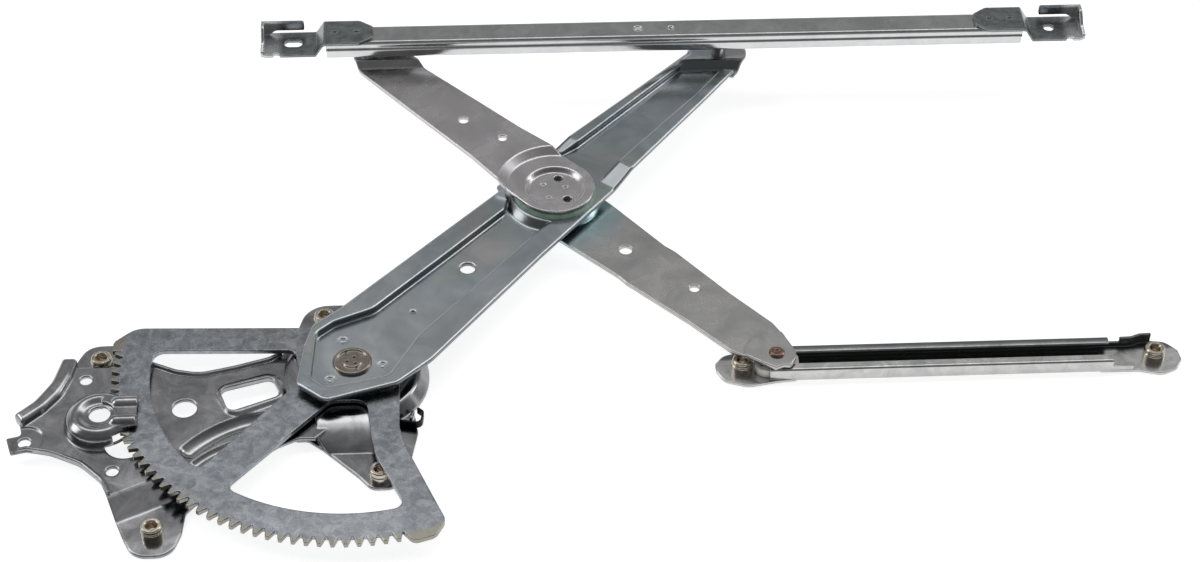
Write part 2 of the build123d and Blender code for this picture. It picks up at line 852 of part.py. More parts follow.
with BuildPart() as upper_balancer_arm:
    add(upper_flat)
    add(hub_dish)
    add(disc(upper_tip_xy, roller_pin_r, 0, 40), mode=Mode.SUBTRACT)
    add(disc(spot(upper_frame, 74.5, 0.4), 2.9, 0, 40), mode=Mode.SUBTRACT)
    add(disc(spot(upper_frame, 47.8, -4.8), 2.6, 0, 40), mode=Mode.SUBTRACT)
    with BuildSketch(Plane.XY.offset(disc_top)):
        with Locations((hub_xy[0] + 2.2, hub_xy[1] + 9.0), (hub_xy[0] + 6.4, hub_xy[1] - 8.6)):
            Circle(2.5)
    extrude(amount=-sheet, mode=Mode.SUBTRACT)
    with BuildSketch(Plane.XY.offset(disc_top)):
        with Locations(
            (hub_xy[0] - 6.2, hub_xy[1] + 3.6),
            (hub_xy[0] + 5.8, hub_xy[1] + 1.0),
            (hub_xy[0] - 3.6, hub_xy[1] - 7.4),
        ):
            Circle(1.5)
            Circle(0.8, mode=Mode.SUBTRACT)
    extrude(amount=-0.6, mode=Mode.SUBTRACT)
save(upper_balancer_arm, "upper_balancer_arm")

# Lower balancer arm under the lift arm
low_flat_top = lower_arm_z + sheet
low_hub_top = lower_hub_z + sheet
low_end_top = low_flat_top + lower_end_rise
low_hub_r = 19.6
low_foot_r = 24.5
low_pad_r = 17.0
lower_outline = [
    (0.0, -20.5),
    (22.0, -20.5, 20),
    (68.0, -17.6, 3),
    (75.0, -18.3, 3),
    (long_half - 48.5, -15.8, 30),
    (long_half - 17.5, -15.5, 6),
    (long_half - 10.5, -13.0, 6),
    (long_half + 7.1, -8.4, 1.5),
    (long_half + 8.7, -3.6, 0.8),
    (long_half + 11.1, -1.6, 1.2),
    (long_half + 9.1, 4.6, 1.2),
    (long_half + 5.9, 8.0, 1.5),
    (long_half - 9, 13.4, 6),
    (long_half - 17.5, 15.5, 6),
    (long_half - 48.5, 15.8, 30),
    (75.0, 18.3, 3),
    (68.0, 17.6, 3),
    (22.0, 20.5, 20),
    (0.0, 20.5),
]
lower_shape = plate(lower_frame, lower_outline, 5, 20) + disc(hub_xy, 20.5, 5, 20)
lower_flat = plate(
    lower_frame,
    [(-40, -40), (220, -40), (220, 40), (-40, 40)],
    lower_arm_z,
    low_flat_top,
)
lower_flat = lower_flat - disc(hub_xy, low_foot_r, 0, 40) - disc(lower_tip_xy, low_pad_r, 0, 40)
lower_hub = turned(
    hub_xy,
    [
        (0, lower_hub_z),
        (low_hub_r, lower_hub_z, 1.5),
        (low_foot_r - 0.6, lower_arm_z, 1.5),
        (low_foot_r + 1.2, lower_arm_z),
        (low_foot_r + 1.2, low_flat_top),
        (low_foot_r + 0.4, low_flat_top, 1.5),
        (low_hub_r + 0.8, low_hub_top, 1.5),
        (0, low_hub_top),
    ],
)
lower_pad = turned(
    lower_tip_xy,
    [
        (0, lower_arm_z + lower_end_rise),
        (low_pad_r - 0.6, lower_arm_z + lower_end_rise),
        (low_pad_r + 0.4, lower_arm_z),
        (low_pad_r + 1.0, lower_arm_z),
        (low_pad_r + 1.0, low_flat_top),
        (low_pad_r, low_flat_top),
        (low_pad_r - 0.8, low_end_top),
        (0, low_end_top),
    ],
)
lower_pieces = [lower_flat & lower_shape, lower_hub & lower_shape, lower_pad & lower_shape]
with BuildPart() as lower_balancer_arm:
    for piece in lower_pieces:
        add(piece)
    add(disc(lower_tip_xy, shoe_shoulder_r - 0.7, 0, 40), mode=Mode.SUBTRACT)
    add(disc(spot(lower_frame, 55.6, -0.1), 3.6, 0, 40), mode=Mode.SUBTRACT)
    add(disc(spot(lower_frame, 102.4, 4.9), 2.8, 0, 40), mode=Mode.SUBTRACT)
save(lower_balancer_arm, "lower_balancer_arm")

# Hub spacer that turns in the lift arm, with a washer below and a wear ring above
spacer_top = disc_top - sheet
with BuildPart() as hub_spacer:
    add(disc(hub_xy, hub_r, low_hub_top, spacer_top))
save(hub_spacer, "hub_spacer")
washer_top = high_panel - sheet - 0.1
with BuildPart() as hub_washer:
    add(disc(hub_xy, 20.0, low_hub_top, washer_top))
    add(disc(hub_xy, hub_r + 0.02, low_hub_top - 1, washer_top + 1), mode=Mode.SUBTRACT)
save(hub_washer, "hub_washer")
wear_top = ring_top - sheet - 0.2
with BuildPart() as hub_wear_ring:
    add(
        turned(
            hub_xy,
            [
                (17.8, high_panel),
                (23.0, high_panel),
                (21.9, wear_top - 0.3),
                (21.4, wear_top),
                (18.2, wear_top),
                (17.8, wear_top - 0.4),
            ],
        )
    )
save(hub_wear_ring, "hub_wear_ring")

# Rollers of the lift rail on shouldered pins
roller_z = rail_bottom_z + rail_sheet + 0.5
roller_top = rail_top_z - rail_sheet - 1.2


def roller_pin(centre, pad_bottom, pad_top):
    return turned(
        centre,
        [
            (0, pad_bottom - 1.4),
            (4.0, pad_bottom - 1.4),
            (4.8, pad_bottom - 0.8),
            (5.0, pad_bottom),
            (roller_pin_r, pad_bottom),
            (roller_pin_r, pad_top),
            (shoulder_r, pad_top),
            (shoulder_r, roller_z - 0.1),
            (roller_pin_r, roller_z - 0.1),
            (roller_pin_r, roller_top + 0.1),
            (4.6, roller_top + 0.1),
            (4.2, roller_top + 0.9),
            (0, roller_top + 0.9),
        ],
    )


def roller(centre):
    return turned(
        centre,
        [
            (roller_pin_r + roller_clearance, roller_z),
            (roller_r - 0.5, roller_z),
            (roller_r, roller_z + 0.5),
            (roller_r, roller_top - 0.5),
            (roller_r - 0.5, roller_top),
            (roller_pin_r + roller_clearance, roller_top),
        ],
    )


with BuildPart() as lift_roller_pin:
    add(roller_pin(lift_tip_xy, lift_end_z, lift_end_z + sheet))
save(lift_roller_pin, "lift_roller_pin")
with BuildPart() as lift_roller:
    add(roller(lift_tip_xy))
save(lift_roller, "lift_roller")
upper_pad_z = upper_arm_z + upper_end_rise
with BuildPart() as upper_roller_pin:
    add(roller_pin(upper_tip_xy, upper_pad_z, upper_pad_z + sheet))
save(upper_roller_pin, "upper_roller_pin")
with BuildPart() as upper_roller:
    add(roller(upper_tip_xy))
save(upper_roller, "upper_roller")

# Guide shoe and its riveted pin
shoe_z = channel_sheet + 0.5
shoe_top = channel_height - channel_sheet - 0.4
shoe_pin_r = 3.0
with BuildPart() as shoe_pin:
    add(
        turned(
            lower_tip_xy,
            [
                (0, shoe_z + 0.9),
                (shoe_pin_r, shoe_z + 0.9),
                (shoe_pin_r, shoe_top + 0.1),
                (shoe_shoulder_r, shoe_top + 0.1),
                (shoe_shoulder_r, low_end_top - sheet),
                (shoe_shoulder_r - 0.7, low_end_top - sheet),
                (shoe_shoulder_r - 0.7, low_end_top),
                (4.2, low_end_top),
                (4.1, low_end_top + 0.6),
                (3.0, low_end_top + 1.2),
                (1.6, low_end_top + 1.2),
                (0.9, low_end_top + 0.6),
                (0, low_end_top + 0.6),
            ],
        )
    )
save(shoe_pin, "shoe_pin")
with BuildPart() as guide_shoe:
    with BuildSketch(Plane.XY.offset(shoe_z)):
        with Locations(lower_tip_xy):
            RectangleRounded(2 * shoe_half_length, 2 * shoe_half_width, 6.5)
    extrude(amount=shoe_top - shoe_z)
    add(disc(lower_tip_xy, shoe_pin_r + roller_clearance, shoe_z + 0.8, 20), mode=Mode.SUBTRACT)
    with BuildSketch(Plane.XY.offset(shoe_top)):
        with Locations((lower_tip_xy[0] - 7.9, 0), (lower_tip_xy[0] + 7.9, 0)):
            Rectangle(1.6, 9)
    extrude(amount=-2.2, mode=Mode.SUBTRACT)
save(guide_shoe, "guide_shoe")

# Lift rail, a stepped channel with its slot facing down
web_z = rail_top_z - rail_sheet
rail_section = [
    (-rail_slot_half, rail_bottom_z),
    (-rail_half_width, rail_bottom_z, 1.6),
    (-rail_half_width, rail_top_z - 4.6, 0.6),
    (-rail_half_width + 1.0, rail_top_z - 3.9, 0.6),
    (-rail_half_width + 1.0, rail_top_z - 1.6, 1.0),
    (-rail_web_half, rail_top_z, 1.0),
    (rail_web_half, rail_top_z, 1.0),
    (rail_half_width - 1.0, rail_top_z - 1.6, 1.0),
    (rail_half_width - 1.0, rail_top_z - 3.9, 0.6),
    (rail_half_width, rail_top_z - 4.6, 0.6),
    (rail_half_width, rail_bottom_z, 1.6),
    (rail_slot_half, rail_bottom_z),
    (rail_slot_half, rail_bottom_z + rail_sheet),
    (rail_half_width - rail_sheet, rail_bottom_z + rail_sheet),
    (rail_half_width - rail_sheet, rail_top_z - 5.4),
    (rail_half_width - rail_sheet - 0.5, rail_top_z - 4.6),
    (rail_half_width - rail_sheet - 0.5, web_z - 0.9),
    (rail_web_half - 0.9, web_z),
    (-rail_web_half + 0.9, web_z),
    (-rail_half_width + rail_sheet + 0.5, web_z - 0.9),
    (-rail_half_width + rail_sheet + 0.5, rail_top_z - 4.6),
    (-rail_half_width + rail_sheet, rail_top_z - 5.4),
    (-rail_half_width + rail_sheet, rail_bottom_z + rail_sheet),
    (-rail_slot_half, rail_bottom_z + rail_sheet),
]
rail_end = Plane(origin=(rail_left_x, rail_y, 0), x_dir=(0, 1, 0), z_dir=(1, 0, 0))
with BuildPart() as lift_rail:
    with BuildSketch(rail_end):
        add(shape(rail_section))
    extrude(amount=rail_right_x - rail_left_x)
    add(disc((rail_left_x + 179.1, rail_y), 2.3, web_z - 2, rail_top_z + 1), mode=Mode.SUBTRACT)
    add(disc((rail_left_x + 198.1, rail_y), 1.6, web_z - 2, rail_top_z + 1), mode=Mode.SUBTRACT)
    for x, way in ((rail_left_x, 1), (rail_right_x, -1)):
        lip_y = rail_y - rail_slot_half + 1
        corner = [(x - way, rail_y - 20), (x + way * 3.5, rail_y - 20), (x - way, lip_y)]
        add(plate(Plane.XY, corner, rail_bottom_z - 1, rail_bottom_z + 5.0), mode=Mode.SUBTRACT)
save(lift_rail, "lift_rail")

# Glass brackets welded on both ends of the lift rail
bracket_half = 10.8
bracket_top = rail_top_z + 1.8
bracket_low = bracket_top - 7.4
bracket_t = 1.8
joggle_out = 3.5


def bracket(rail_end, out, reach, lobe, hole, dents, slot_length):
    way = -out
    end_x = rail_end + out * reach
    joggle_x = rail_end + out * joggle_out
    lobe_x = rail_end - out * lobe
    top = [
        (end_x, bracket_low),
        (joggle_x - way * 2.6, bracket_low, 1.5),
        (joggle_x + way * 2.2, bracket_top, 1.5),
        (lobe_x, bracket_top),
    ]
    outline = [
        (end_x, rail_y - bracket_half, 3.5),
        (end_x, rail_y + bracket_half, 2.5),
        (lobe_x - way * 8.0, rail_y + bracket_half, 3),
        (lobe_x, rail_y + 5.0, 3),
        (lobe_x, rail_y - 5.0, 3),
        (lobe_x - way * 8.0, rail_y - bracket_half, 3),
    ]
    body = rolled((0, rail_y), (1, 0), strip(top, bracket_t), 30)
    wall_x = sorted((end_x, end_x + way * bracket_t))
    wall_side = [
        (rail_y - bracket_half + 1.0, bracket_low - bracket_t),
        (rail_y - bracket_half + 1.0, bracket_low + 1.4, 1.2),
        (rail_y - 2.0, bracket_low + 2.6, 4),
        (rail_y + bracket_half - 6.0, bracket_low + 8.4, 3),
        (rail_y + bracket_half, bracket_low + 8.4, 1.5),
        (rail_y + bracket_half, bracket_low - bracket_t),
    ]
    hook_side = [
        (end_x, bracket_low + 2.9),
        (end_x, bracket_low + 8.4),
        (end_x + way * 24.5, bracket_low + 8.4, 1.4),
        (end_x + way * 24.5, bracket_low + 2.9, 1.0),
        (end_x + way * 8.0, bracket_low + 2.9, 3),
        (end_x + way * 3.5, bracket_low - 0.5),
        (end_x, bracket_low - 0.5),
    ]
    with BuildPart() as wall:
        with BuildSketch(Plane(origin=(wall_x[0], 0, 0), x_dir=(0, 1, 0), z_dir=(1, 0, 0))):
            add(shape(wall_side))
        extrude(amount=bracket_t)
    with BuildPart() as hook_strip:
        with BuildSketch(Plane(origin=(0, rail_y + bracket_half, 0), x_dir=(1, 0, 0), z_dir=(0, -1, 0))):
            add(shape(hook_side))
        extrude(amount=bracket_t)
    with BuildPart() as cuts:
        with BuildSketch(Plane.XY.offset(bracket_low - 10)):
            with Locations((rail_end + out * hole, rail_y)):
                if slot_length:
                    SlotOverall(slot_length, 6.4)
                else:
                    Circle(3.0)
            with Locations((end_x + way * 9.0, rail_y - bracket_half)):
                Circle(2.0)
        extrude(amount=12)
        with BuildSketch(Plane.XY.offset(bracket_top - 0.7)):
            with Locations(*[(rail_end - out * dent, rail_y) for dent in dents]):
                SlotCenterToCenter(1.6, 2.0)
        extrude(amount=2)
    return (body & plate(Plane.XY, outline, 20, 60)) + wall.part + hook_strip.part - cuts.part


with BuildPart() as left_glass_bracket:
    add(bracket(rail_left_x, -1, 37.3, 27.0, 19.0, (5.0, 17.4), 10.4))
save(left_glass_bracket, "left_glass_bracket")
with BuildPart() as right_glass_bracket:
    add(bracket(rail_right_x, 1, 37.0, 27.5, 17.2, (18.5, 6.6), 0))
save(right_glass_bracket, "right_glass_bracket")

# Guide rail, a channel with its slot facing up and an ear at each end
channel_left = lower_tip_xy[0] - 4.2
channel_right = guide_right_x - 23.5
guide_section = [
    (-channel_slot_half, channel_height),
    (-channel_half_width, channel_height, 1.2),
    (-channel_half_width, 0, 1.2),
    (channel_half_width, 0, 1.2),
    (channel_half_width, channel_height, 1.2),
    (channel_slot_half, channel_height),
    (channel_slot_half, channel_height - channel_sheet),
    (channel_half_width - channel_sheet, channel_height - channel_sheet),
    (channel_half_width - channel_sheet, channel_sheet),
    (-channel_half_width + channel_sheet, channel_sheet),
    (-channel_half_width + channel_sheet, channel_height - channel_sheet),
    (-channel_slot_half, channel_height - channel_sheet),
]
left_ear = [
    (channel_left + 14.0, -channel_half_width),
    (channel_left + 4.0, -channel_half_width - 1.0, 8),
    (guide_left_x + 2.0, -13.2, 8),
    (guide_left_x - 10.0, -9.0, 7),
    (guide_left_x - 13.6, -1.5, 1.5),
    (guide_left_x - 13.6, 3.2, 1.5),
    (guide_left_x - 9.0, 9.0, 7),
    (guide_left_x + 2.0, 12.2, 8),
    (channel_left + 4.0, channel_half_width + 0.6, 8),
    (channel_left + 14.0, channel_half_width),
]
right_ear = [
    (channel_right - 6.0, -channel_half_width),
    (guide_right_x - 10.0, -channel_half_width - 0.2, 8),
    (guide_right_x + 2.0, -12.8, 8),
    (guide_right_x + 10.5, -9.0, 6),
    (guide_right_x + 14.2, -3.0, 2),
    (guide_right_x + 13.6, 4.0, 2),
    (guide_right_x + 8.0, 10.5, 7),
    (guide_right_x - 4.0, 12.4, 6),
    (channel_right - 6.0, channel_half_width),
]
guide_end = Plane(origin=(channel_left, 0, 0), x_dir=(0, 1, 0), z_dir=(1, 0, 0))
low_wall = 4.4
with BuildPart() as guide_rail:
    with BuildSketch(guide_end):
        add(shape(guide_section))
    extrude(amount=channel_right - channel_left)
    add(plate(Plane.XY, left_ear, ear_z, base_sheet))
    add(plate(Plane.XY, right_ear, ear_z, base_sheet))
    for side in (-1, 1):
        y0, y1 = sorted((side * channel_half_width, side * (channel_half_width - channel_sheet)))
        x0, x1 = channel_right - 1, channel_right + 11.0
        run = [(x0, y0), (x1, y0), (x1, y1), (x0, y1)]
        add(plate(Plane.XY, run, ear_z, low_wall))
    tab_x = guide_right_x - 17.0
    tab_band = [
        (tab_x, channel_half_width),
        (tab_x + 6.0, channel_half_width + 0.2, 4),
        (tab_x + 11.0, channel_half_width + 2.2, 4),
        (tab_x + 17.0, channel_half_width + 2.4),
        (tab_x + 17.0, channel_half_width + 1.2),
        (tab_x + 11.6, channel_half_width + 1.0, 4),
        (tab_x + 6.4, channel_half_width - 1.0, 4),
        (tab_x, channel_half_width - channel_sheet),
    ]
    add(plate(Plane.XY, tab_band, ear_z, 7.4))
    for x in (guide_left_x, guide_right_x):
        add(disc((x, 0), 3.4, -1, base_sheet + 1), mode=Mode.SUBTRACT)
save(guide_rail, "guide_rail")
for tag, x in (("left", guide_left_x), ("right", guide_right_x)):
    with BuildPart() as nut:
        add(weld_nut((x, 0), base_sheet))
    save(nut, f"guide_nut_{tag}")
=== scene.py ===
import math

import bpy
from mathutils import Matrix, Vector


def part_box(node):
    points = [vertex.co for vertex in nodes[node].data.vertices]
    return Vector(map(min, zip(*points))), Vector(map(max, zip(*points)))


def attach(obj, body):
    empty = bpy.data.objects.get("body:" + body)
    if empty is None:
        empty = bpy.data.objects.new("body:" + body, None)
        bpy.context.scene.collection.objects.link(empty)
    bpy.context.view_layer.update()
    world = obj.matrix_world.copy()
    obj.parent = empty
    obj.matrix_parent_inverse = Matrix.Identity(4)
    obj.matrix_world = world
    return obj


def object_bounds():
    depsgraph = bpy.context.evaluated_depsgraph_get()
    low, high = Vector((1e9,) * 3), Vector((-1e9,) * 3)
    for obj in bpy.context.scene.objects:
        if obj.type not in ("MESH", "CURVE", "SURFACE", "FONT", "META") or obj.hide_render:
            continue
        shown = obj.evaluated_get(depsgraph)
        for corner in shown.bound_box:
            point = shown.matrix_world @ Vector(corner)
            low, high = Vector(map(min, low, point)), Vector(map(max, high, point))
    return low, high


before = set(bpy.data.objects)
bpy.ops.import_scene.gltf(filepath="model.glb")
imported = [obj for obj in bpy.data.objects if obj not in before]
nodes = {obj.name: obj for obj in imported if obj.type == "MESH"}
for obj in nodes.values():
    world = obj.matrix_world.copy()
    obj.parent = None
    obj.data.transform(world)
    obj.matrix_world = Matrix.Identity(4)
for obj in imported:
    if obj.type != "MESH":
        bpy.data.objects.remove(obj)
cad_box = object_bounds()

# Camera: it stands in front of the regulator and a little to its left, 42 degrees above
# the plane that the regulator lies in, with a long lens, and looks at the part's middle.
azimuth = math.radians(-4.047)
elevation = math.radians(42.017)
roll = math.radians(1.2014)
distance = 1.35706
target = Vector((0.00151, 0.01096, -0.0039))
back = Vector(
    (
        math.sin(azimuth) * math.cos(elevation),
        -math.cos(azimuth) * math.cos(elevation),
        math.sin(elevation),
    )
)
level = Vector((math.cos(azimuth), math.sin(azimuth), 0))
upward = back.cross(level)
side = level * math.cos(roll) + upward * math.sin(roll)
top = upward * math.cos(roll) - level * math.sin(roll)
eye = target + back * distance
camera = bpy.data.objects.new("camera", bpy.data.cameras.new("camera"))
camera.data.sensor_width = 36.0
camera.data.lens = 75.54
camera.data.clip_start = 0.05
camera.data.clip_end = 20.0
camera.matrix_world = Matrix(
    (
        (side.x, top.x, back.x, eye.x),
        (side.y, top.y, back.y, eye.y),
        (side.z, top.z, back.z, eye.z),
        (0, 0, 0, 1),
    )
)
bpy.context.scene.collection.objects.link(camera)
bpy.context.scene.camera = camera
bpy.context.scene.view_settings.view_transform = "Standard"


# Studio floor: a plain pale sheet right under the regulator, matte, so that it only takes a
# soft shadow. A glow of its own keeps it near white, as the dim tent alone would not.
def linear(code):
    channels = [int(code[i : i + 2], 16) / 255 for i in (1, 3, 5)]
    return [c / 12.92 if c <= 0.04045 else ((c + 0.055) / 1.055) ** 2.4 for c in channels] + [1.0]


def put(tree, kind, inputs=None, stops=None, **settings):
    made = tree.nodes.new(kind)
    for key, value in settings.items():
        setattr(made, key, value)
    for key, value in (inputs or {}).items():
        if isinstance(value, bpy.types.NodeSocket):
            tree.links.new(value, made.inputs[key])
        else:
            made.inputs[key].default_value = value
    if stops:
        bar = made.color_ramp.elements
        while len(bar) < len(stops):
            bar.new(0.5)
        for element, (place, shade) in zip(bar, stops):
            element.position = place
            element.color = linear(shade) if isinstance(shade, str) else (shade, shade, shade, 1)
    return made


def empty_tree(owner):
    owner.use_nodes = True
    owner.node_tree.nodes.clear()
    return owner.node_tree


floor_half = 6.0
floor_drop = 0.0002
floor_z = cad_box[0].z - floor_drop
corners = [(-1, -1), (1, -1), (1, 1), (-1, 1)]
floor = bpy.data.meshes.new("floor")
floor.from_pydata([(x * floor_half, y * floor_half, floor_z) for x, y in corners], [], [(0, 1, 2, 3)])
floor_object = bpy.data.objects.new("floor", floor)
bpy.context.scene.collection.objects.link(floor_object)
studio_sheet = bpy.data.materials.new("studio_sheet")
tree = empty_tree(studio_sheet)
matte = put(tree, "ShaderNodeBsdfDiffuse", {"Color": linear("#c9c9c9")})
glow = put(tree, "ShaderNodeEmission", {"Color": linear("#ffffff"), "Strength": 0.80})
both = put(tree, "ShaderNodeAddShader", {0: matte.outputs[0], 1: glow.outputs[0]})
put(tree, "ShaderNodeOutputMaterial", {"Surface": both.outputs[0]})
floor.materials.append(studio_sheet)

# Studio air: a tent of soft panels round the part, white to the camera. Bright metal sees
# the tent by height: grey behind the part, a white panel from 57 to 69 degrees up, and a dim
# side where the camera stands. The share runs from the back horizon over the top to the front.
air = bpy.data.worlds.new("studio_air")
bpy.context.scene.world = air
tree = empty_tree(air)
way = put(tree, "ShaderNodeTexCoord")
split = put(tree, "ShaderNodeSeparateXYZ", {0: way.outputs["Generated"]})
tilt = put(tree, "ShaderNodeMath", {0: split.outputs["Z"], 1: split.outputs["Y"]}, operation="ARCTAN2")
share = put(tree, "ShaderNodeMath", {0: tilt.outputs[0], 1: math.pi}, operation="DIVIDE")
tent = [
    (0.0, 0.95),
    (0.09, 0.75),
    (0.155, 0.38),
    (0.200, 0.23),
    (0.235, 0.46),
    (0.275, 0.27),
    (0.30, 0.50),
    (0.318, 1.40),
    (0.385, 1.40),
    (0.41, 0.60),
    (0.47, 0.32),
    (0.60, 0.20),
    (0.74, 0.12),
    (0.90, 0.20),
    (1.0, 0.5),
]
height = put(tree, "ShaderNodeValToRGB", {"Fac": share.outputs[0]}, stops=tent)
rays = put(tree, "ShaderNodeLightPath")
panels = put(tree, "ShaderNodeBackground", {"Color": height.outputs["Color"], "Strength": 1.0})
white = put(tree, "ShaderNodeBackground", {"Color": (1, 1, 1, 1), "Strength": 1.0})
shown = {0: rays.outputs["Is Camera Ray"], 1: panels.outputs[0], 2: white.outputs[0]}
seen = put(tree, "ShaderNodeMixShader", shown)
put(tree, "ShaderNodeOutputWorld", {"Surface": seen.outputs[0]})

# Three lamps: a long one in line with the white panel, and a small one at either side. All
# three face the middle of the part.
lamp_target = Vector((0, 0.02, 0.02))
for name, place, length, depth, watts in (
    ("lamp_over", (0.0, 0.80, 1.40), 1.8, 0.36, 2.6),
    ("lamp_left", (-1.3, 0.15, 0.9), 0.5, 0.5, 2.5),
    ("lamp_right", (1.3, 0.5, 0.8), 0.4, 0.4, 1.5),
):
    light = bpy.data.lights.new(name, "AREA")
    light.shape = "RECTANGLE"
    light.energy = watts
    light.size = length
    light.size_y = depth
    lamp = bpy.data.objects.new(name, light)
    lamp.location = place
    lamp.rotation_euler = (lamp_target - Vector(place)).to_track_quat("-Z", "Y").to_euler()
    bpy.context.scene.collection.objects.link(lamp)


# Base plate: deep drawn from 1.6 mm cold rolled sheet, zinc plated after pressing. Dome,
# cup, ridge, troughs and window rim stiffen it, and it is screwed to the door by four ears.
def dress(name, material):
    mesh = nodes[name].data
    mesh.materials.clear()
    mesh.materials.append(material)


def centre_of(name):
    low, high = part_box(name)
    return (low + high) / 2


# Zinc plated sheet steel: grey metal with cloudy patches from the bath, a fine grain from the
# rolled sheet, slow waves from pressing that bend reflections, and edges that catch light.
# The clouds run from light to dark and are cloud_mm wide. wave_mm is the height of the waves,
# edge_mm the rounding of edges, and film holds the tints of a thin film. A patch tells what
# is read, how it is measured against what, where its colour starts and is full, and the colour.
# The rolled grain is drawn coarser than it is, so that it shows.
def plated_sheet(name, light, dark, cloud_mm, gloss, grain, wave_mm=0, edge_mm=0.8, film=None, patch=None):
    film_mm, wave_run_mm, grain_mm, grain_depth_mm = 75, 32, 0.625, 0.2
    made = bpy.data.materials.new(name)
    tree = empty_tree(made)
    spot = put(tree, "ShaderNodeTexCoord").outputs["Object"]
    bath = {"Vector": spot, "Scale": 1000 / cloud_mm, "Detail": 6.0, "Roughness": 0.62, "Distortion": 0.6}
    clouds = put(tree, "ShaderNodeTexNoise", bath).outputs["Fac"]
    colour = put(tree, "ShaderNodeValToRGB", {"Fac": clouds}, stops=[(0.34, dark), (0.66, light)])
    colour = colour.outputs["Color"]
    if film:
        spread = {
            "Vector": spot,
            "Scale": 1000 / film_mm,
            "Detail": 2.5,
            "Roughness": 0.55,
            "Distortion": 0.4,
        }
        broad = put(tree, "ShaderNodeTexNoise", spread).outputs["Fac"]
        hue = put(tree, "ShaderNodeValToRGB", {"Fac": broad}, stops=film)
        tint = {0: 0.75, 6: colour, 7: hue.outputs["Color"]}
        colour = put(tree, "ShaderNodeMix", tint, data_type="RGBA", blend_type="MULTIPLY").outputs[2]
    if patch:
        read = put(tree, "ShaderNodeTexCoord").outputs[patch["read"]]
        against = {0: read, 1: patch["against"]}
        measured = put(tree, "ShaderNodeVectorMath", against, operation=patch["measure"])
        reach = {
            "Value": measured.outputs["Value"],
            "From Min": patch["start"],
            "From Max": patch["full"],
        }
        where = put(tree, "ShaderNodeMapRange", reach, interpolation_type="SMOOTHSTEP").outputs[0]
        touched = {0: where, 6: colour, 7: linear(patch["colour"])}
        colour = put(tree, "ShaderNodeMix", touched, data_type="RGBA").outputs[2]
    dulled = {
        "Value": clouds,
        "From Min": 0.3,
        "From Max": 0.7,
        "To Min": gloss - 0.03,
        "To Max": gloss + 0.04,
    }
    dull = put(tree, "ShaderNodeMapRange", dulled)
    normal = put(tree, "ShaderNodeBevel", {"Radius": edge_mm / 1000}, samples=8).outputs[0]
    if wave_mm:
        slow = {
            "Vector": spot,
            "Scale": 1000 / wave_run_mm,
            "Detail": 1.5,
            "Roughness": 0.4,
            "Distortion": 0.3,
        }
        waves = put(tree, "ShaderNodeTexNoise", slow).outputs["Fac"]
        pressed = {"Height": waves, "Strength": 1.0, "Distance": wave_mm / 1000, "Normal": normal}
        normal = put(tree, "ShaderNodeBump", pressed).outputs[0]
    fine = {"Vector": spot, "Scale": 1000 / grain_mm, "Detail": 3.0, "Roughness": 0.7}
    rolled = put(tree, "ShaderNodeTexNoise", fine).outputs["Fac"]
    texture = {"Height": rolled, "Strength": grain, "Distance": grain_depth_mm / 1000, "Normal": normal}
    skin = {
        "Base Color": colour,
        "Metallic": 1.0,
        "Roughness": dull.outputs[0],
        "Normal": put(tree, "ShaderNodeBump", texture).outputs[0],
    }
    metal = put(tree, "ShaderNodeBsdfPrincipled", skin)
    put(tree, "ShaderNodeOutputMaterial", {0: metal.outputs[0]})
    return made


# Deep drawn zinc: darker and glossier than flat sheet and wavy, so that domes and troughs
# mirror the studio in bright and dark bands.
deck_zinc = plated_sheet(
    "deep_drawn_zinc_sheet",
    light="#aaaaac",
    dark="#868789",
    cloud_mm=14,
    gloss=0.16,
    grain=0.05,
    wave_mm=0.9,
    edge_mm=1.6,
)
dress("base_plate", deck_zinc)


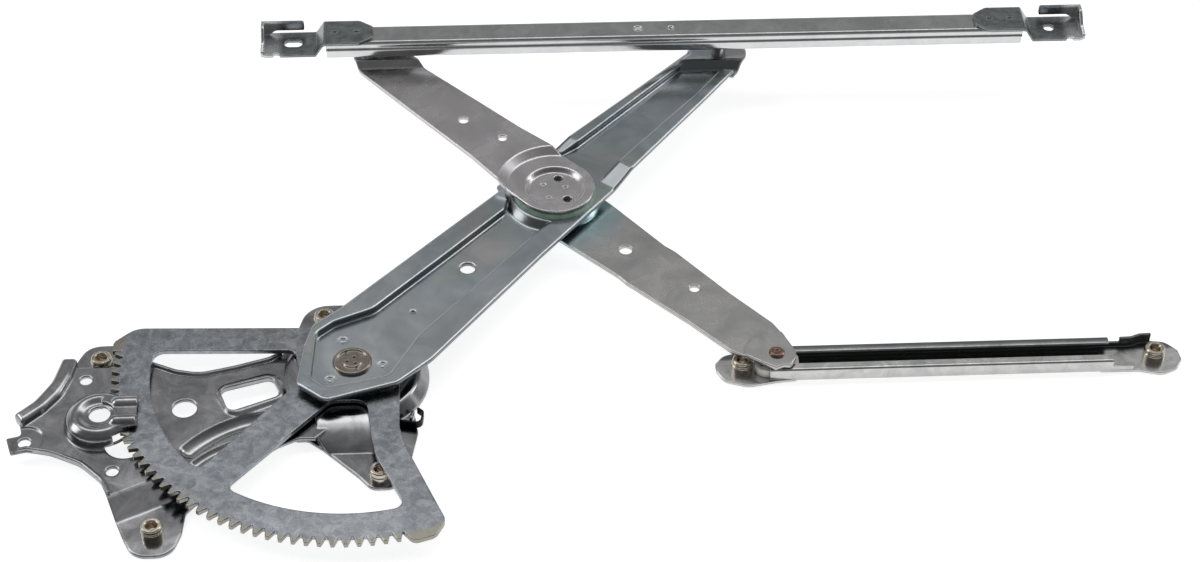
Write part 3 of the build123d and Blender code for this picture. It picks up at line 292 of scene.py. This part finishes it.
# Weld nuts: four M6 nuts with a round collar, projection welded on top of the ears, nickel
# plated steel. Their bores are tapped, and the yellowish oil left in the thread shows.
def nut_thread(name, body, holders):
    pitch, bore_radius, ridge = 0.001, 0.0025, 0.0003
    low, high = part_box(holders[0])
    tall = high.z - low.z - 2 * pitch
    seats = bpy.data.meshes.new(name)
    seats.from_pydata([(centre_of(n).x, centre_of(n).y, low.z + pitch) for n in holders], [], [])
    piece = bpy.data.objects.new(name, seats)
    bpy.context.scene.collection.objects.link(piece)
    tree = bpy.data.node_groups.new(name, "GeometryNodeTree")
    tree.interface.new_socket("points", in_out="INPUT", socket_type="NodeSocketGeometry")
    for label, value in (("pitch", pitch), ("radius", bore_radius), ("height", tall), ("ridge", ridge)):
        socket = tree.interface.new_socket(label, in_out="INPUT", socket_type="NodeSocketFloat")
        socket.default_value = value
    tree.interface.new_socket("thread", in_out="OUTPUT", socket_type="NodeSocketGeometry")
    given = put(tree, "NodeGroupInput").outputs
    turns = put(tree, "ShaderNodeMath", {0: given["height"], 1: given["pitch"]}, operation="DIVIDE")
    helix = {
        "Resolution": 26,
        "Rotations": turns.outputs[0],
        "Start Radius": given["radius"],
        "End Radius": given["radius"],
        "Height": given["height"],
    }
    line = put(tree, "GeometryNodeCurveSpiral", helix)
    crest = put(tree, "GeometryNodeCurvePrimitiveCircle", {"Resolution": 4, "Radius": given["ridge"]})
    swept = {"Curve": line.outputs[0], "Profile Curve": crest.outputs[0], "Fill Caps": True}
    thread = put(tree, "GeometryNodeCurveToMesh", swept)
    placed = put(tree, "GeometryNodeInstanceOnPoints", {0: given["points"], 2: thread.outputs[0]})
    real = put(tree, "GeometryNodeRealizeInstances", {0: placed.outputs[0]})
    painted = put(tree, "GeometryNodeSetMaterial", {0: real.outputs[0], "Material": tapped_steel})
    put(tree, "NodeGroupOutput", {0: painted.outputs[0]})
    modifier = piece.modifiers.new(name, "NODES")
    modifier.node_group = tree
    graph = bpy.context.evaluated_depsgraph_get()
    piece.data = bpy.data.meshes.new_from_object(piece.evaluated_get(graph))
    piece.modifiers.clear()
    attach(piece, body)


# Nickel plated steel: a warm grey, brighter than the zinc round it.
nut_nickel = plated_sheet(
    "nickel_plated_nut_steel",
    light="#d2cbbe",
    dark="#aba295",
    cloud_mm=3,
    gloss=0.20,
    grain=0.03,
    edge_mm=0.6,
)
# Oiled tapped steel: brass coloured by the oil, darker between the ridges.
tapped_steel = plated_sheet(
    "oiled_tapped_steel",
    light="#b08a4c",
    dark="#6f5730",
    cloud_mm=1.5,
    gloss=0.22,
    grain=0.05,
    edge_mm=0.1,
)
base_nuts = ["base_nut_ul", "base_nut_ll", "base_nut_ur", "base_nut_lr"]
for name in base_nuts:
    dress(name, nut_nickel)
nut_thread("base_nut_threads", "base", base_nuts)

# Sector gear: 2.5 mm plate, fine blanked with its teeth, then zinc plated. The thick plate
# takes the bath in coarse bluish flakes, and its teeth are rubbed paler and warmer.
sector_zinc = plated_sheet(
    "flaked_zinc_plate",
    light="#a9acb0",
    dark="#85898e",
    cloud_mm=4.5,
    gloss=0.26,
    grain=0.10,
    wave_mm=0.35,
    film=[(0.42, "#ffffff"), (0.56, "#edf0f4"), (0.70, "#f8f3ec")],
    patch={
        "read": "Object",
        "measure": "DISTANCE",
        "against": centre_of("main_pivot_pin"),
        "start": 0.1170,
        "full": 0.1215,
        "colour": "#98958b",
    },
)
dress("sector_gear", sector_zinc)

# Lift arm: drawn from 2 mm sheet with turned-up lips, welded to the sector, zinc plated
# and passivated. The passivation leaves a thin bluish and greenish film on its panel. Faces
# tilted more than a few degrees from flat, at its steps, walls and lips, carry painted shade.
arm_zinc = plated_sheet(
    "blue_passivated_zinc_sheet",
    light="#c8cbcd",
    dark="#b3b7ba",
    cloud_mm=30,
    gloss=0.20,
    grain=0.05,
    wave_mm=0.3,
    edge_mm=2.2,
    film=[(0.42, "#f7f8f9"), (0.50, "#dbe6ed"), (0.57, "#dfe8e2"), (0.64, "#f0e8e8"), (0.74, "#f8f8f6")],
    # Painted shade: every face tilted more than about 4 to 7 degrees from flat gets this darker colour.
    patch={
        "read": "Normal",
        "measure": "DOT_PRODUCT",
        "against": (0, 0, 1),
        "start": 0.9975,
        "full": 0.9920,
        "colour": "#85898b",
    },
)
dress("lift_arm", arm_zinc)

# Main pivot: a shouldered steel rivet that turns in a plain bearing bush in the dome. Its
# stamped face has gone a dull brownish grey from the heat of riveting and from oil.
browned_rivet = plated_sheet(
    "heat_browned_rivet_steel",
    light="#9c958c",
    dark="#8a8279",
    cloud_mm=9,
    gloss=0.22,
    grain=0.06,
    edge_mm=0.8,
)
dress("main_pivot_pin", browned_rivet)


# Moulded nylon: a milky engineering plastic with a low sheen, a little cloudy and finely
# matt from the mould, so that its highlights stay soft. The matt is drawn coarser than it is.
def moulded_nylon(name, light, dark):
    milk_mm, pit_mm, pit_depth_mm, edge_mm = 5, 0.8333, 0.1, 0.5
    made = bpy.data.materials.new(name)
    tree = empty_tree(made)
    spot = put(tree, "ShaderNodeTexCoord").outputs["Object"]
    milk = {"Vector": spot, "Scale": 1000 / milk_mm, "Detail": 3.0, "Roughness": 0.5}
    clouds = put(tree, "ShaderNodeTexNoise", milk).outputs["Fac"]
    colour = put(tree, "ShaderNodeValToRGB", {"Fac": clouds}, stops=[(0.35, dark), (0.65, light)])
    fine = {"Vector": spot, "Scale": 1000 / pit_mm, "Detail": 2.0, "Roughness": 0.6}
    pits = put(tree, "ShaderNodeTexNoise", fine).outputs["Fac"]
    soft = put(tree, "ShaderNodeBevel", {"Radius": edge_mm / 1000}, samples=6).outputs[0]
    texture = {"Height": pits, "Strength": 0.08, "Distance": pit_depth_mm / 1000, "Normal": soft}
    skin = {
        "Base Color": colour.outputs["Color"],
        "Roughness": 0.42,
        "IOR": 1.53,
        "Normal": put(tree, "ShaderNodeBump", texture).outputs[0],
    }
    plastic = put(tree, "ShaderNodeBsdfPrincipled", skin)
    put(tree, "ShaderNodeOutputMaterial", {0: plastic.outputs[0]})
    return made


white_nylon = moulded_nylon("natural_nylon", light="#e8e7e1", dark="#d3d2c9")
dress("pivot_bush", white_nylon)

# Counterbalance spring: a flat spiral of oil-tempered spring steel strip, blackened, so it
# looks almost black with a satin sheen. It winds round the pivot under the dome and hooks on
# a tab of the base plate.
black_spring = plated_sheet(
    "blackened_spring_steel",
    light="#2e2f31",
    dark="#17181a",
    cloud_mm=4,
    gloss=0.38,
    grain=0.10,
    edge_mm=0.3,
)
dress("counterbalance_spring", black_spring)

# Balancer arms: two lengths of 2 mm strip on one centre line, blanked, joggled and welded
# to the hub's spacer, then zinc plated. The strip is an even pale grey with a soft gloss.
upper_zinc = plated_sheet(
    "grained_zinc_strip",
    light="#c7c5c6",
    dark="#bbb9bb",
    cloud_mm=20,
    gloss=0.26,
    grain=0.06,
    edge_mm=1.2,
)
dress("upper_balancer_arm", upper_zinc)
# The lower arm's strip is a shade darker, with a bluish green stain of grease near the hub.
lower_zinc = plated_sheet(
    "stained_zinc_strip",
    light="#bab9b8",
    dark="#adacac",
    cloud_mm=20,
    gloss=0.25,
    grain=0.06,
    edge_mm=1.2,
    patch={
        "read": "Object",
        "measure": "DISTANCE",
        "against": centre_of("hub_spacer"),
        "start": 0.050,
        "full": 0.026,
        "colour": "#a3bcc0",
    },
)
dress("lower_balancer_arm", lower_zinc)

# Hub of the scissor: a turned steel spacer is welded between the balancer arms and turns in
# the lift arm, with a nylon wear ring above and a washer below. Both are greased, so they
# look pale green with a low sheen.
dress("hub_spacer", deck_zinc)
green_nylon = moulded_nylon("greased_nylon", light="#a9c4b2", dark="#86a596")
for name in ("hub_wear_ring", "hub_washer"):
    dress(name, green_nylon)

# Rollers and their pins: turned steel pins riveted to the arm tips, zinc plated to a warm
# light grey, each with a white nylon roller that runs inside the lift rail.
pin_zinc = plated_sheet(
    "turned_zinc_steel",
    light="#c2c1bd",
    dark="#a09e98",
    cloud_mm=3,
    gloss=0.22,
    grain=0.05,
    edge_mm=0.4,
)
for name in ("lift_roller_pin", "upper_roller_pin"):
    dress(name, pin_zinc)
for name in ("lift_roller", "upper_roller"):
    dress(name, white_nylon)

# Lift rail: 1.5 mm strip roll formed to a slotted channel, zinc plated. It is the palest and
# glossiest piece and mirrors the studio in long bands. The rollers run in it, and it carries
# the glass.
rail_zinc = plated_sheet(
    "roll_formed_zinc_strip",
    light="#d2d3d3",
    dark="#c6c7c8",
    cloud_mm=12,
    gloss=0.14,
    grain=0.05,
    wave_mm=0.15,
    edge_mm=1.4,
)
dress("lift_rail", rail_zinc)

# Glass brackets: two stepped pressings of 1.8 mm uncoated steel, welded on the rail's ends.
# The mill skin is dark, dull and a little blue. The outer tips, which are bent upward, carry a
# painted highlight in a pale colour; the sash of the door glass is screwed to them.
for name, outward, tip_x in (("left_glass_bracket", -1, 0.1705), ("right_glass_bracket", 1, 0.2790)):
    mill_steel = plated_sheet(
        f"mill_skinned_steel_{name}",
        light="#8d9193",
        dark="#75797b",
        cloud_mm=5,
        gloss=0.27,
        grain=0.14,
        edge_mm=1.2,
        # Painted highlight: beyond tip_x, at the outer tip, the colour turns pale.
        patch={
            "read": "Object",
            "measure": "DOT_PRODUCT",
            "against": (outward, 0, 0),
            "start": tip_x,
            "full": tip_x + 0.006,
            "colour": "#c4c5c7",
        },
    )
    dress(name, mill_steel)

# Guide rail: roll formed from 1.2 mm strip with an ear pressed at each end, in bright zinc. Its
# back lip carries painted shade in a darker colour. Two weld nuts fix it to the door, and the
# balancer's shoe slides in its slot.
guide_zinc = plated_sheet(
    "bright_roll_formed_zinc",
    light="#cbcbca",
    dark="#b4b4b4",
    cloud_mm=9,
    gloss=0.24,
    grain=0.05,
    wave_mm=0.2,
    edge_mm=0.9,
    # Painted shade: from y = -60 mm backwards, along the back lip, the colour turns dark.
    patch={
        "read": "Object",
        "measure": "DOT_PRODUCT",
        "against": (0, 1, 0),
        "start": -0.0600,
        "full": -0.0580,
        "colour": "#77797b",
    },
)
dress("guide_rail", guide_zinc)
guide_nuts = ["guide_nut_left", "guide_nut_right"]
for name in guide_nuts:
    dress(name, nut_nickel)
nut_thread("guide_nut_threads", "guide", guide_nuts)

# Shoe and its rivet: a moulded nylon slide block in the guide rail, held to the lower
# balancer's tip by a rivet that has turned copper brown, with a soft sheen.
dress("guide_shoe", white_nylon)
copper_rivet = plated_sheet(
    "copper_brown_rivet_steel",
    light="#93796a",
    dark="#6a564a",
    cloud_mm=3,
    gloss=0.25,
    grain=0.10,
    edge_mm=0.8,
)
dress("shoe_pin", copper_rivet)
